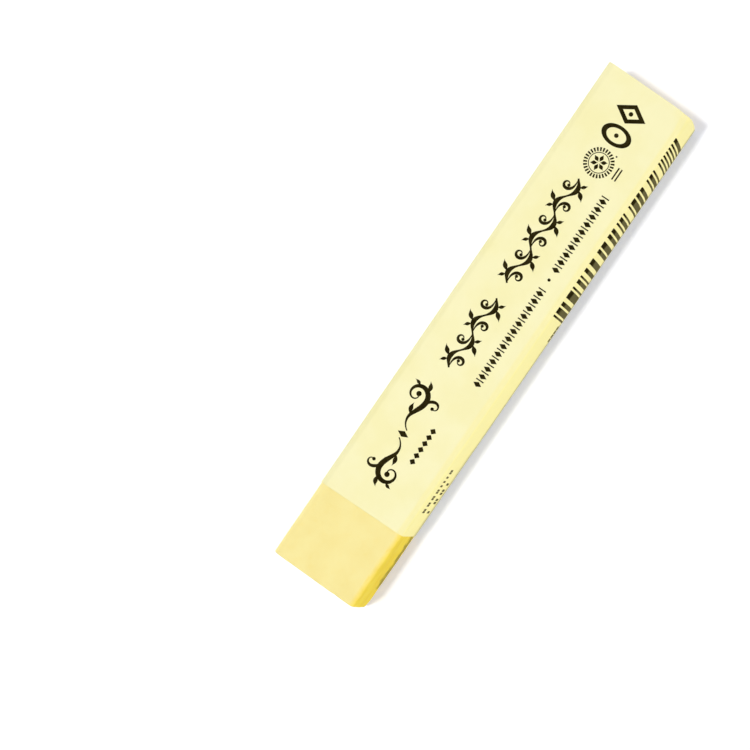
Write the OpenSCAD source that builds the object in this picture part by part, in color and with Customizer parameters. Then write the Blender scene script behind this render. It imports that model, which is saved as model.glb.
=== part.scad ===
// Soft pastel stick in its paper sleeve.
// A square bar of pressed pigment lies on its side, with its drawing end towards -X.
// A sheet of paper is wrapped round the rest of it and glued to itself along a lap.
// The origin is at the middle of the underside: +X runs from the drawing end to the
// wrapped end, and +Z points up through the printed face.

/* [Pastel bar] */
// Length of the pressed bar
bar_len = 65; // [40:0.5:90]
// Width of the bar, across the printed face
bar_w = 10.75; // [8:0.05:20]
// Height of the bar, from the underside to the printed face
bar_h = 10.75; // [8:0.05:20]
// Radius of the four long edges
long_edge_r = 0.8; // [0.2:0.05:2]
// Radius of the edges round both ends
end_edge_r = 0.25; // [0.1:0.05:1]

/* [Paper sleeve] */
// Thickness of the paper
paper_t = 0.06; // [0.05:0.01:0.4]
// Clearance between the bar and the paper, at both sides and on top
wrap_gap = 0.01; // [0.01:0.01:0.3]
// Length of the bar that is left bare at the drawing end
bare_len = 9.3; // [3:0.1:30]
// How far the paper reaches past the wrapped end of the bar
overhang = 0.15; // [0:0.05:2]

/* [Glued lap] */
// Width of the lap, where the outer layer covers the inner one
lap_w = 5; // [2:0.5:6]
// Width of the slope where the outer layer comes down past the inner layer's edge
lap_slope = 0.4; // [0.2:0.1:0.8]

/* [Hidden] */
$fn = 96;
bar_colour = "#f3df8a";
paper_colour = "#fbf3bd";
// The bar rests on the paper, so its clearance in height is all above it
sleeve_inner = [bar_w + 2 * wrap_gap, bar_h + wrap_gap];
sleeve_inner_r = long_edge_r + wrap_gap;
sleeve_outer = [sleeve_inner.x + 2 * paper_t, sleeve_inner.y + 2 * paper_t];
sleeve_outer_r = sleeve_inner_r + paper_t;
sleeve_len = bar_len - bare_len + overhang;
bar_start = -(bar_len + overhang) / 2;
sleeve_start = bar_start + bare_len;
// Heights on the +Y side: the outer layer's cut edge, and the inner layer's hidden one
lap_cut_z = (sleeve_outer.y - lap_w) / 2;
lap_buried_z = lap_cut_z + lap_w;
side_y = sleeve_outer.x / 2;

// Rectangle with true arcs at its corners, centred in x and standing on y = 0
module rounded_rect(size, r) {
    translate([0, size.y / 2]) {
        square([size.x - 2 * r, size.y], center = true);
        square([size.x, size.y - 2 * r], center = true);
        for (side = [-1, 1], end = [-1, 1])
            translate([side * (size.x / 2 - r), end * (size.y / 2 - r)])
                circle(r);
    }
}

// Runs a section drawn in (y, z) along +X
module along_x(start, len) {
    translate([start, 0, 0])
        rotate([90, 0, 90])
            linear_extrude(len)
                children();
}

// Bar with its long edges rounded, as the mould leaves it
module long_body() {
    along_x(0, bar_len)
        rounded_rect([bar_w, bar_h], long_edge_r);
}

// Plan and side outlines, which together round the edges of both ends
module end_rounding() {
    linear_extrude(bar_h)
        translate([bar_len / 2, -bar_w / 2])
            rounded_rect([bar_len, bar_w], end_edge_r);
}

module side_rounding() {
    translate([bar_len / 2, bar_w / 2, 0])
        rotate([90, 0, 0])
            linear_extrude(bar_w)
                rounded_rect([bar_len, bar_h], end_edge_r);
}

module pastel_stick() {
    color(bar_colour)
        translate([bar_start, 0, paper_t])
            intersection() {
                long_body();
                end_rounding();
                side_rounding();
            }
}

// Outer layer of the lap: cut square below, sloping down to the side above
module lap_section() {
    polygon([
        [side_y - paper_t / 2, lap_cut_z],
        [side_y + paper_t, lap_cut_z],
        [side_y + paper_t, lap_buried_z],
        [side_y, lap_buried_z + lap_slope],
        [side_y - paper_t / 2, lap_buried_z + lap_slope]
    ]);
}

module paper_sleeve() {
    color(paper_colour)
        along_x(sleeve_start, sleeve_len) {
            difference() {
                rounded_rect(sleeve_outer, sleeve_outer_r);
                translate([0, paper_t])
                    rounded_rect(sleeve_inner, sleeve_inner_r);
            }
            lap_section();
        }
}

pastel_stick();
paper_sleeve();
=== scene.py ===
# %% [markdown]
# # A soft pastel stick in its paper sleeve
# The real thing is a square bar of pressed pigment, about as thick as a finger. A printed paper
# sleeve keeps the fingers clean and leaves one end bare for drawing. This lesson dresses the
# measured CAD parts: the bar gets its chalky skin, the sleeve its folds and lap, and the paper
# its ink. Places come from the CAD parts, in metres; the print is drawn in millimetres.

# %% Load the measured frame
import math
import bpy
import numpy as np
from mathutils import Matrix, Vector
from mathutils.geometry import delaunay_2d_cdt


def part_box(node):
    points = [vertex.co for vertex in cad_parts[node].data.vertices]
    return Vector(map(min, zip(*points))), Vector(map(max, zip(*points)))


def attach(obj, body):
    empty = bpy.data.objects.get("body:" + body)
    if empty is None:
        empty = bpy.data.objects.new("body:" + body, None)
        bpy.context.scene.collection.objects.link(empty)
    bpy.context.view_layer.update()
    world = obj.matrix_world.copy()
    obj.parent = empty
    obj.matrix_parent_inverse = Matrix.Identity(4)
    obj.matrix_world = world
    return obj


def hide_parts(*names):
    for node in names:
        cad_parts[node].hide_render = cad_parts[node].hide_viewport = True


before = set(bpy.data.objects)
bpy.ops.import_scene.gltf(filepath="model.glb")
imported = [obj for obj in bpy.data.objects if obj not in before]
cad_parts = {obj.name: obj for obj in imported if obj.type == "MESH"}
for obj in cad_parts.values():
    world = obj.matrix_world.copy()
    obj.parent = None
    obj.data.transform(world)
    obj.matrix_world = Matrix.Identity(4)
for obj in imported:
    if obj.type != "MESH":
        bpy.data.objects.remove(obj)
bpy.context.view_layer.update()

MM = 0.001
bar_low, bar_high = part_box("pastel_stick")
wrap_low, wrap_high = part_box("paper_sleeve")
print("bar", [round(side / MM, 2) for side in bar_high - bar_low], "mm")
print("sleeve", [round(side / MM, 2) for side in wrap_high - wrap_low], "mm")

# %% [markdown]
# ## The camera
# The stick is looked at from almost straight above, from a ruler's length away, with a long lens.
# The camera leans a little to the side, so that one long side of the stick shows as a narrow
# strip, and it is turned so that the stick climbs to the right. A direction, a distance and a
# turn describe that better than three rotation angles would.

# %% Aim the camera
CAMERA_TARGET = Vector((-10.24, 7.19, 10.5)) * MM
CAMERA_DISTANCE = 300 * MM
CAMERA_LEAN_SIDE = math.radians(9.474)
CAMERA_LEAN_ALONG = math.radians(2.382)
CAMERA_TURN = math.radians(55.073)
CAMERA_LENS = 130.85


def add_object(name, data):
    """A new object of the scene that shows this camera, lamp, mesh or curve."""
    obj = bpy.data.objects.new(name, data)
    bpy.context.scene.collection.objects.link(obj)
    return obj


towards_camera = Vector((math.tan(CAMERA_LEAN_ALONG), -math.tan(CAMERA_LEAN_SIDE), 1)).normalized()
picture_up = Vector((math.sin(CAMERA_TURN), math.cos(CAMERA_TURN), 0))
camera_right = (-towards_camera).cross(picture_up).normalized()
camera_up = towards_camera.cross(camera_right)

camera = add_object("camera", bpy.data.cameras.new("camera"))
camera.data.lens = CAMERA_LENS
camera.data.clip_start = 10 * MM
camera.data.clip_end = 10
camera.matrix_world = Matrix((camera_right, camera_up, towards_camera)).transposed().to_4x4()
camera.location = CAMERA_TARGET + towards_camera * CAMERA_DISTANCE
bpy.context.scene.camera = camera
print("camera at", [round(place / MM, 1) for place in camera.location], "mm")

# %% [markdown]
# ## Helpers for node trees
# Every material and every Geometry Nodes tree below is made of nodes, so one small function adds
# a node, sets its options and fills or links its inputs. A second one turns the hex code of a
# printed colour into the linear numbers that a shader works with.

# %% Node and colour helpers
ADD = {"operation": "ADD"}
SUBTRACT = {"operation": "SUBTRACT"}
MULTIPLY = {"operation": "MULTIPLY"}
MULTIPLY_ADD = {"operation": "MULTIPLY_ADD"}
DIVIDE = {"operation": "DIVIDE"}
MAXIMUM = {"operation": "MAXIMUM"}
SCALE = {"operation": "SCALE"}
SMOOTH = {"interpolation_type": "SMOOTHSTEP"}
BLEND = {"data_type": "RGBA"}
SEEDED = {"noise_dimensions": "4D"}
NODE_SPACING = 180


def add_node(tree, kind, options=None, inputs=None):
    """Adds a node. An input's value is a number, a colour, a socket, or a node for its first output."""
    node = tree.nodes.new(kind)
    node.location.x = NODE_SPACING * len(tree.nodes)
    for name, value in (options or {}).items():
        setattr(node, name, value)
    for key, value in (inputs or {}).items():
        if isinstance(value, bpy.types.Node):
            value = value.outputs[0]
        if isinstance(value, bpy.types.NodeSocket):
            tree.links.new(value, node.inputs[key])
        else:
            node.inputs[key].default_value = value
    return node


def srgb(hex_code):
    """An sRGB hex colour as linear red, green, blue and alpha."""
    shares = [int(hex_code[i:i + 2], 16) / 255 for i in (1, 3, 5)]
    linear = [s / 12.92 if s <= 0.04045 else ((s + 0.055) / 1.055) ** 2.4 for s in shares]
    return (*linear, 1.0)


def new_material(name):
    """A material with an empty tree, as (material, tree, input for the finished surface)."""
    material = bpy.data.materials.new(name)
    material.use_nodes = True
    material.node_tree.nodes.clear()
    output = add_node(material.node_tree, "ShaderNodeOutputMaterial")
    return material, material.node_tree, output.inputs["Surface"]


print("half grey, #808080, is", round(srgb("#808080")[0], 3), "of the light of white")

# %% [markdown]
# ## The table top
# A sheet of white card lies under the stick. To the camera about an eighth of its finish is a cool
# glow, so that it prints as plain white where it is fully lit, and its shadows stay nearly neutral
# although the yellow stick warms them. Only the camera sees the glow: it puts no light on the stick.

# %% Lay the white card
CARD_HALF_WIDTH = 3.0
CARD_DROP = 0.01 * MM
CARD_WHITE = "#fdfdfd"
GLOW_TINT = "#d8dfff"
GLOW_STRENGTH = 2.52
GLOW_SHARE = 0.133

card_mesh = bpy.data.meshes.new("white_card")
card_corners = [(x * CARD_HALF_WIDTH, y * CARD_HALF_WIDTH, -CARD_DROP)
                for x, y in ((-1, -1), (1, -1), (1, 1), (-1, 1))]
card_mesh.from_pydata(card_corners, [], [(0, 1, 2, 3)])
card = add_object("white_card", card_mesh)

card_material, tree, surface = new_material("matte_white_card")
matte = add_node(tree, "ShaderNodeBsdfDiffuse", inputs={"Color": srgb(CARD_WHITE)})
ray = add_node(tree, "ShaderNodeLightPath")
glow_share = add_node(tree, "ShaderNodeMath", MULTIPLY, {0: ray.outputs["Is Camera Ray"], 1: GLOW_SHARE})
glow = add_node(tree, "ShaderNodeEmission", inputs={"Color": srgb(GLOW_TINT), "Strength": GLOW_STRENGTH})
both = add_node(tree, "ShaderNodeMixShader", inputs={0: glow_share, 1: matte, 2: glow})
tree.links.new(both.outputs[0], surface)
card_mesh.materials.append(card_material)
print("card", 2 * CARD_HALF_WIDTH, "m wide")

# %% [markdown]
# ## The studio light
# A lamp almost overhead gives half of the light. It stands a little towards the bare end and the
# far side, so it draws the narrow shadow along the near side and past the wrapped end. An even
# white surround lifts the shade; the camera and mirror images see it as plain white. A wide, low
# lamp on the near side fills the long side that faces the camera, and a still lower one opposite
# keeps the far fold of the paper as bright as its top. Together they put about one unit of light
# on a level surface, so a colour comes out about as it is written.

# %% Switch on the lights
SURROUND_SHARE = 0.34
KEY_SHARE = 0.50
FILL_SHARE = 0.37
FAR_FILL_SHARE = 0.30
KEY_DIRECTION = Vector((0.15, -0.095, -1.0))
FILL_DIRECTION = Vector((0.0, 1.0, -0.27))
FAR_FILL_DIRECTION = Vector((-0.5, -0.85, -0.15))
KEY_WIDTH = math.radians(4.6)
FILL_WIDTH = math.radians(50)


def add_sun(name, direction, share, width):
    """A sun lamp whose light alone would show a surface facing it at that share of its colour."""
    lamp = add_object(name, bpy.data.lights.new(name, "SUN"))
    lamp.data.energy = math.pi * share
    lamp.data.angle = width
    lamp.rotation_euler = direction.to_track_quat("-Z", "Y").to_euler()


add_sun("key_lamp", KEY_DIRECTION, KEY_SHARE, KEY_WIDTH)
add_sun("fill_lamp", FILL_DIRECTION, FILL_SHARE, FILL_WIDTH)
add_sun("far_fill_lamp", FAR_FILL_DIRECTION, FAR_FILL_SHARE, FILL_WIDTH)

world = bpy.data.worlds.new("studio")
bpy.context.scene.world = world
world.use_nodes = True
tree = world.node_tree
tree.nodes.clear()
ray = add_node(tree, "ShaderNodeLightPath")
seen = ray.outputs["Is Camera Ray"]
for kind in ("Is Glossy Ray", "Is Transmission Ray"):
    seen = add_node(tree, "ShaderNodeMath", MAXIMUM, {0: seen, 1: ray.outputs[kind]})
strength = add_node(tree, "ShaderNodeMapRange", inputs={"Value": seen, "To Min": SURROUND_SHARE})
surround = add_node(tree, "ShaderNodeBackground", inputs={"Color": (1, 1, 1, 1), "Strength": strength})
add_node(tree, "ShaderNodeOutputWorld", inputs={"Surface": surround})
bpy.context.scene.view_settings.view_transform = "Standard"
print("light shares:", SURROUND_SHARE, KEY_SHARE, FILL_SHARE, FAR_FILL_SHARE)

# %% [markdown]
# ## Geometry Nodes helpers
# A tree is a recipe that can be given other sizes later, so each one gets named inputs. Two helpers
# open a tree with its inputs and close it. Every tree that makes a piece closes in the same way:
# its instances are made real and get a material.

# %% Open and close a tree
SOCKET_KINDS = {float: "Float", int: "Int", Vector: "Vector", bpy.types.Material: "Material",
                bpy.types.Object: "Object"}


def new_tree(name, inputs):
    """A Geometry Nodes tree with a geometry input and output and the named inputs."""
    tree = bpy.data.node_groups.new(name, "GeometryNodeTree")
    tree.interface.new_socket(name="Geometry", in_out="OUTPUT", socket_type="NodeSocketGeometry")
    tree.interface.new_socket(name="Geometry", in_out="INPUT", socket_type="NodeSocketGeometry")
    for label, kind in inputs.items():
        tree.interface.new_socket(name=label, in_out="INPUT", socket_type="NodeSocket" + SOCKET_KINDS[kind])
    given = add_node(tree, "NodeGroupInput")
    result = add_node(tree, "NodeGroupOutput")
    return tree, given.outputs, result.inputs["Geometry"]


def kinds_of(values):
    """The kind of each labelled value, for the inputs of a tree that will be given these values."""
    return {label: type(value) for label, value in values.items()}


def close_tree(tree, geometry, material, result):
    """Adds the last nodes of a tree: all of the geometry is made real and gets the material."""
    whole = add_node(tree, "GeometryNodeRealizeInstances", inputs={"Geometry": geometry})
    dressed = add_node(tree, "GeometryNodeSetMaterial", inputs={"Geometry": whole, "Material": material})
    tree.links.new(dressed.outputs[0], result)


print("a tree can ask for:", ", ".join(SOCKET_KINDS.values()))

# %% [markdown]
# A tree works on an object as a modifier. Its inputs are set by their identifiers, since the
# modifier knows them only by those. A modifier only shows its result, so another helper keeps that
# result as a plain mesh and removes the blank that it was made from.

# %% Run a tree and keep its result
def run_tree(obj, tree, values):
    """Puts the tree on the object as a modifier, and sets each named input by its identifier."""
    modifier = obj.modifiers.new(tree.name, "NODES")
    modifier.node_group = tree
    sockets = {s.name: s.identifier for s in tree.interface.items_tree if s.in_out == "INPUT"}
    for label, value in values.items():
        modifier[sockets[label]] = value


def plain_piece(name, blank):
    """The object with its modifiers worked in, as a plain mesh object; the blank is removed."""
    depsgraph = bpy.context.evaluated_depsgraph_get()
    mesh = bpy.data.meshes.new_from_object(blank.evaluated_get(depsgraph))
    mesh.name = name
    bpy.data.objects.remove(blank)
    piece = add_object(name, mesh)
    triangles = sum(len(face.vertices) - 2 for face in mesh.polygons)
    print(name, "has", triangles, "triangles")
    return piece


print("trees so far:", len(bpy.data.node_groups))

# %% [markdown]
# ## Which way a surface faces
# Both the chalk and the paper are painted palest where they face up, as a painted sheen of the light
# from above; on the chalk loose powder adds to it. The colour could be picked by height, but then a
# rounded edge would get a stripe. This small tree measures the angle between the surface and a given
# direction instead, and keeps the result as an attribute called "facing". The trees of the bar and the
# sleeve both use it.

# %% Measure the facing
facing_tree, given, result = new_tree("keep_facing", {
    "Towards": Vector, "Full Within": float, "None Beyond": float})
normal = add_node(facing_tree, "GeometryNodeInputNormal")
likeness = add_node(facing_tree, "ShaderNodeVectorMath", {"operation": "DOT_PRODUCT"},
                    {0: normal, 1: given["Towards"]})
angle = add_node(facing_tree, "ShaderNodeMath", {"operation": "ARCCOSINE"}, {0: likeness.outputs["Value"]})
share = add_node(facing_tree, "ShaderNodeMapRange", inputs={
    "Value": angle, "From Min": given["None Beyond"], "From Max": given["Full Within"]})
eased = add_node(facing_tree, "ShaderNodeMath", MULTIPLY, {0: share, 1: share})
kept = add_node(facing_tree, "GeometryNodeStoreNamedAttribute", inputs={
    "Geometry": given["Geometry"], "Name": "facing", "Value": eased})
facing_tree.links.new(kept.outputs[0], result)

PALE_DIRECTION = Vector((0.0, 0.45, 0.9)).normalized()
PALE_WITHIN = math.radians(40)
print("palest within", round(math.degrees(PALE_WITHIN)), "degrees of", list(np.round(PALE_DIRECTION, 2)))

# %% [markdown]
# ## The bar's body
# A soft pastel is pigment and chalk pressed into a square bar. Its long edges are clearly
# rounded, its ends only slightly. A mesh of even little squares is wanted where the bar is bare,
# because pits and crumbled edges will be pressed into it. The skin of a lattice box gives that
# mesh, with no seam and no pole: each lattice corner is moved to its place on the rounded bar.

# %% Lay out the lattice of the bar
SKIN_STEP = 0.104 * MM
HIDDEN_STEP = 4.0 * MM
END_STEPS = 6
LONG_EDGE_RADIUS = 0.8 * MM
END_EDGE_RADIUS = 0.25 * MM
UNDER_PAPER = 0.6 * MM
TUCK = 0.03 * MM


def box_skin(cells):
    """Whole-number corners and outward-facing quads of the skin of a box of cells."""
    sheets = []
    for axis in range(3):
        across, up = (axis + 1) % 3, (axis + 2) % 3
        a, b = np.meshgrid(np.arange(cells[across]), np.arange(cells[up]), indexing="ij")
        for end in (0, cells[axis]):
            turn = [(0, 0), (1, 0), (1, 1), (0, 1)]
            if end == 0:
                turn.reverse()
            quads = np.zeros(a.shape + (4, 3), int)
            for corner, (step_a, step_b) in enumerate(turn):
                quads[..., corner, axis] = end
                quads[..., corner, across] = a + step_a
                quads[..., corner, up] = b + step_b
            sheets.append(quads.reshape(-1, 3))
    corners, index = np.unique(np.concatenate(sheets), axis=0, return_inverse=True)
    return corners, index.reshape(-1, 4)


def stations():
    """Places along the bar and how far the skin lies inside the full section there."""
    turn = np.linspace(0, math.pi / 2, END_STEPS + 1)
    end_x = END_EDGE_RADIUS * (1 - np.cos(turn))
    end_inset = END_EDGE_RADIUS * (1 - np.sin(turn))
    bare_from = bar_low.x + END_EDGE_RADIUS
    bare_to = wrap_low.x + UNDER_PAPER
    bare = np.linspace(bare_from, bare_to, round((bare_to - bare_from) / SKIN_STEP) + 1)[1:]
    hidden_to = bar_high.x - END_EDGE_RADIUS
    hidden = np.linspace(bare_to, hidden_to, round((hidden_to - bare_to) / HIDDEN_STEP) + 1)[1:-1]
    x = np.concatenate([bar_low.x + end_x, bare, hidden, (bar_high.x - end_x)[::-1]])
    inset = np.concatenate([end_inset, 0 * bare, 0 * hidden + TUCK, end_inset[::-1]])
    return x, inset


station_x, station_inset = stations()
bar_size = bar_high - bar_low
skin_cells = round(bar_size.y / SKIN_STEP)
corners, quads = box_skin((len(station_x) - 1, skin_cells, skin_cells))
print("lattice of", len(corners), "corners and", len(quads), "quads")

# %% [markdown]
# A point of the section is found on the unit square first, then on the rounded square: the part
# of the square that sticks out past the straight stretch is bent to an arc. A corner is rubbed
# off by pushing whatever stands past a slanting plane back to it, and a wide rim makes the corner
# round rather than flat.

# %% Round the section and rub the corners
RIM_SOFTNESS = 0.9 * MM


def rounded_section(across, up, half_y, half_z, radius):
    """Places on a rounded rectangle for places on the unit square, and inside it in step."""
    reach = np.maximum(np.abs(across), np.abs(up))
    rim = np.where(reach > 0, reach, 1)
    y, z = across / rim * half_y, up / rim * half_z
    core_y = np.clip(y, radius - half_y, half_y - radius)
    core_z = np.clip(z, radius - half_z, half_z - radius)
    out_y, out_z = y - core_y, z - core_z
    length = np.hypot(out_y, out_z)
    bend = radius / np.where(length > 0, length, 1)
    return (core_y + out_y * bend) * reach, (core_z + out_z * bend) * reach


def rub_corner(points, corner, setback):
    """Moves points that stand past the plane which cuts the corner off back to that plane."""
    centre = (np.array(bar_low) + np.array(bar_high)) / 2
    outwards = np.sign(np.array(corner) - centre) / math.sqrt(3)
    past = (points - np.array(corner)) @ outwards + setback / math.sqrt(3)
    blend = np.clip(RIM_SOFTNESS - np.abs(past), 0, None) / RIM_SOFTNESS
    push = np.maximum(past, 0) + blend ** 2 * RIM_SOFTNESS / 4
    return points - push[:, None] * outwards


def edge_closeness(points, reach):
    """1 on the sharp edges of the bar's box and 0 from that reach onwards."""
    gaps = np.minimum(points - np.array(bar_low), np.array(bar_high) - points)
    nearest = np.sort(gaps, axis=1)
    return np.clip(1 - np.hypot(nearest[:, 0], nearest[:, 1]) / reach, 0, 1)


print("a rubbed corner is rounded over", RIM_SOFTNESS / MM, "mm")

# %% [markdown]
# The drawing face is not quite square: it bulges and leans out a little towards the table. One low
# corner of it is rubbed, and one corner of the wrapped end is knocked in. How close each point lies
# to an edge is kept as an attribute for the crumbling later.

# %% Shape the bar
RUBBED_SETBACK = 0.6 * MM
KNOCKED_SETBACK = 0.9 * MM
END_LEAN = 0.36 * MM
LEAN_REACH = 4.0 * MM
EDGE_REACH = 1.1 * MM

inset = station_inset[corners[:, 0]]
across = 2 * corners[:, 1] / skin_cells - 1
up = 2 * corners[:, 2] / skin_cells - 1
y, z = rounded_section(across, up, bar_size.y / 2 - inset, bar_size.z / 2 - inset, LONG_EDGE_RADIUS - inset)
points = np.stack([station_x[corners[:, 0]], y, z + (bar_low.z + bar_high.z) / 2], axis=1)
edges = edge_closeness(points, EDGE_REACH)
points = rub_corner(points, (bar_low.x, bar_low.y, bar_low.z), RUBBED_SETBACK)
points = rub_corner(points, (bar_high.x, bar_low.y, bar_high.z), KNOCKED_SETBACK)
near_end = np.clip(1 - (points[:, 0] - bar_low.x) / LEAN_REACH, 0, 1)
below_top = (bar_high.z - points[:, 2]) / bar_size.z
points[:, 0] -= END_LEAN * near_end * np.sin(math.pi / 2 * below_top)

bar_mesh = bpy.data.meshes.new("bar_blank")
bar_mesh.from_pydata(points.tolist(), [], quads.tolist())
bar_mesh.attributes.new("edge", "FLOAT", "POINT").data.foreach_set("value", edges.astype(np.float32))
bar_blank = add_object("bar_blank", bar_mesh)
print("bar blank from", np.round(points.min(0) / MM, 2), "to", np.round(points.max(0) / MM, 2), "mm")

# %% [markdown]
# ## The pastel's finish
# Pressed chalk has a dead matte surface. Its upper face is painted paler, as a painted sheen of the
# light from above together with loose powder, while the sides show the full yellow of the pigment.
# Each of the two is a mix of two tones in soft patches, and a finer noise makes the edge between the
# pale top and the pigment ragged. The small pits get a duller yellow: painted shade in their hollows.

# %% Colour of pressed chalk
DUST_AND_SHEEN_YELLOW = "#fdf1ad"
DUST_AND_SHEEN_YELLOW_WARM = "#fbeda4"
RICH_YELLOW = "#fbe145"
RICH_YELLOW_DEEP = "#f5d73d"
PIT_SHADE_YELLOW = "#ecd479"
MOTTLE = 2.2 * MM
RAGGEDNESS = 0.3


def patches(tree, place, width, low, high, detail):
    """Soft patches of about that width: a noise, stretched so that low gives 0 and high gives 1."""
    noise = add_node(tree, "ShaderNodeTexNoise", inputs={
        "Vector": place, "Scale": 1 / width, "Detail": detail})
    return add_node(tree, "ShaderNodeMapRange", inputs={"Value": noise, "From Min": low, "From Max": high})


pastel_material, tree, surface = new_material("pressed_chalk_pastel")
place = add_node(tree, "ShaderNodeTexCoord").outputs["Object"]
split = add_node(tree, "ShaderNodeSeparateXYZ", inputs={0: place}).outputs
mottled = patches(tree, place, MOTTLE, low=0.35, high=0.68, detail=3.0)
ragged = add_node(tree, "ShaderNodeTexNoise", inputs={"Vector": place, "Scale": 3 / MOTTLE, "Detail": 4.0})
facing = add_node(tree, "ShaderNodeAttribute", {"attribute_name": "facing"}).outputs["Fac"]
# The pale top mixed in here is a painted sheen of the light from above, with loose powder.
dust_and_sheen_share = add_node(tree, "ShaderNodeMath", MULTIPLY_ADD, {0: ragged, 1: RAGGEDNESS, 2: facing})
dust_and_sheen_share = add_node(tree, "ShaderNodeMapRange", inputs={
    "Value": dust_and_sheen_share, "From Min": RAGGEDNESS / 2, "From Max": 1 + RAGGEDNESS / 2})
dust_and_sheen = add_node(tree, "ShaderNodeMix", BLEND,
                {0: mottled, 6: srgb(DUST_AND_SHEEN_YELLOW), 7: srgb(DUST_AND_SHEEN_YELLOW_WARM)}).outputs[2]
pigment = add_node(tree, "ShaderNodeMix", BLEND,
                   {0: mottled, 6: srgb(RICH_YELLOW), 7: srgb(RICH_YELLOW_DEEP)}).outputs[2]
skin = add_node(tree, "ShaderNodeMix", BLEND, {0: dust_and_sheen_share, 6: pigment, 7: dust_and_sheen}).outputs[2]
# Painted shade in the hollows: the pits get a duller yellow.
pit = add_node(tree, "ShaderNodeAttribute", {"attribute_name": "pit"}).outputs["Fac"]
skin = add_node(tree, "ShaderNodeMix", BLEND, {0: pit, 6: skin, 7: srgb(PIT_SHADE_YELLOW)}).outputs[2]
print("patches about", round(MOTTLE / MM, 1), "mm wide")

# %% [markdown]
# A blotchy olive smear low on one long side of the bare end is painted shade along the foot of
# the bar. It could be painted by hand, but a mask can be made from ramps: one for each way in which
# the smear fades.
# They are multiplied, and the ragged noise is added before the edge is cut.

# %% Painted shade along the foot of the bare end
FOOT_SHADE_OLIVE = "#6f6a2c"
FOOT_SHADE_TOP = 5.4 * MM
FOOT_SHADE_DENSE = 2.2 * MM
FOOT_SHADE_LIFT = 0.6 * MM
FOOT_SHADE_FROM = bar_low.x + 1.7 * MM
FOOT_SHADE_RAMP = 0.9 * MM
FOOT_SHADE_RAGGEDNESS = 1.4
FOOT_SHADE_BEGINS = 0.5
FOOT_SHADE_CLOSES = 1.1
FOOT_SHADE_COVER = 0.75

# Painted shade: darker towards the table on the near side of the bare end, in blotches.
low = add_node(tree, "ShaderNodeMapRange", inputs={
    "Value": split["Z"], "From Min": FOOT_SHADE_TOP, "From Max": FOOT_SHADE_DENSE})
off_foot = add_node(tree, "ShaderNodeMapRange", SMOOTH, {
    "Value": split["Z"], "From Min": FOOT_SHADE_LIFT, "From Max": 2 * FOOT_SHADE_LIFT})
near_side = add_node(tree, "ShaderNodeMapRange", inputs={
    "Value": split["Y"], "From Min": bar_low.y / 2, "From Max": bar_low.y})
begun = add_node(tree, "ShaderNodeMapRange", SMOOTH, {
    "Value": split["X"], "From Min": FOOT_SHADE_FROM, "From Max": FOOT_SHADE_FROM + FOOT_SHADE_RAMP})
near_half = add_node(tree, "ShaderNodeMapRange", inputs={
    "Value": split["X"], "From Min": 0.0, "From Max": -FOOT_SHADE_RAMP})
foot_shade = low
for share in (off_foot, near_side, begun, near_half):
    foot_shade = add_node(tree, "ShaderNodeMath", MULTIPLY, {0: foot_shade, 1: share})
foot_shade = add_node(tree, "ShaderNodeMath", MULTIPLY_ADD, {0: ragged, 1: FOOT_SHADE_RAGGEDNESS, 2: foot_shade})
foot_shade = add_node(tree, "ShaderNodeMapRange", SMOOTH, {
    "Value": foot_shade, "From Min": FOOT_SHADE_BEGINS + FOOT_SHADE_RAGGEDNESS / 2,
    "From Max": FOOT_SHADE_CLOSES + FOOT_SHADE_RAGGEDNESS / 2, "To Max": FOOT_SHADE_COVER})
skin = add_node(tree, "ShaderNodeMix", BLEND, {0: foot_shade, 6: skin, 7: srgb(FOOT_SHADE_OLIVE)}).outputs[2]
print("grime up to", FOOT_SHADE_TOP / MM, "mm above the table")

# %% [markdown]
# The grit of the chalk is felt more than seen, so a bump is enough for it. Real grit is a few
# hundredths of a millimetre; it is drawn coarser, or it would not show. Chalk gives back no clear
# highlight, so the roughness is near 1 and the mirror share is low.

# %% Grit and surface of the chalk
GRIT = 0.11 * MM
GRIT_HEIGHT = 0.03 * MM

grit = add_node(tree, "ShaderNodeTexNoise", inputs={"Vector": place, "Scale": 1 / GRIT, "Detail": 2.0})
grain = add_node(tree, "ShaderNodeBump", inputs={"Height": grit, "Strength": 0.35, "Distance": GRIT_HEIGHT})
chalk = add_node(tree, "ShaderNodeBsdfPrincipled", inputs={
    "Base Color": skin, "Roughness": 0.95, "IOR": 1.5, "Specular IOR Level": 0.2,
    "Diffuse Roughness": 0.5, "Normal": grain})
tree.links.new(chalk.outputs[0], surface)
print(pastel_material.name, "has", len(tree.nodes), "nodes")

# %% [markdown]
# ## Wear on the bar
# No pastel is a perfect bar: the press leaves the faces a little uneven, the chalk has small
# pits, and the edges crumble when it is handled. The press moves the skin a little in or out, and
# the other two push it inwards, so a Geometry Nodes tree adds up the three depths and moves each
# point along its normal. How far a point lies in a pit is kept as an attribute, so that the
# material can paint shade into the pits.

# %% Press, pit and crumble
WEAR = {
    "Uneven Depth": 0.06 * MM, "Uneven Width": 3.0 * MM, "Pit Depth": 0.05 * MM, "Pit Width": 0.4 * MM,
    "Pit Spacing": 1.9 * MM, "Crumble Depth": 0.08 * MM, "Crumble Width": 0.8 * MM, "Seed": 3.0,
    "Dust And Sheen From": PALE_DIRECTION, "Dust And Sheen Full Within": PALE_WITHIN,
    "Dust And Sheen None Beyond": math.radians(132), "Chalk": pastel_material}


def lumps(tree, place, width, seed, detail=2.0):
    """Soft lumps of that width, as a number about 0.5 at each place; the seed picks which lumps."""
    scaled = add_node(tree, "ShaderNodeVectorMath", DIVIDE, {0: place, 1: width})
    return add_node(tree, "ShaderNodeTexNoise", SEEDED, {
        "Vector": scaled, "W": seed, "Scale": 1.0, "Detail": detail})


tree, given, result = new_tree("wear_of_pressed_chalk", kinds_of(WEAR))
place = add_node(tree, "GeometryNodeInputPosition")
normal = add_node(tree, "GeometryNodeInputNormal")
edge = add_node(tree, "GeometryNodeInputNamedAttribute", inputs={"Name": "edge"})

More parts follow.
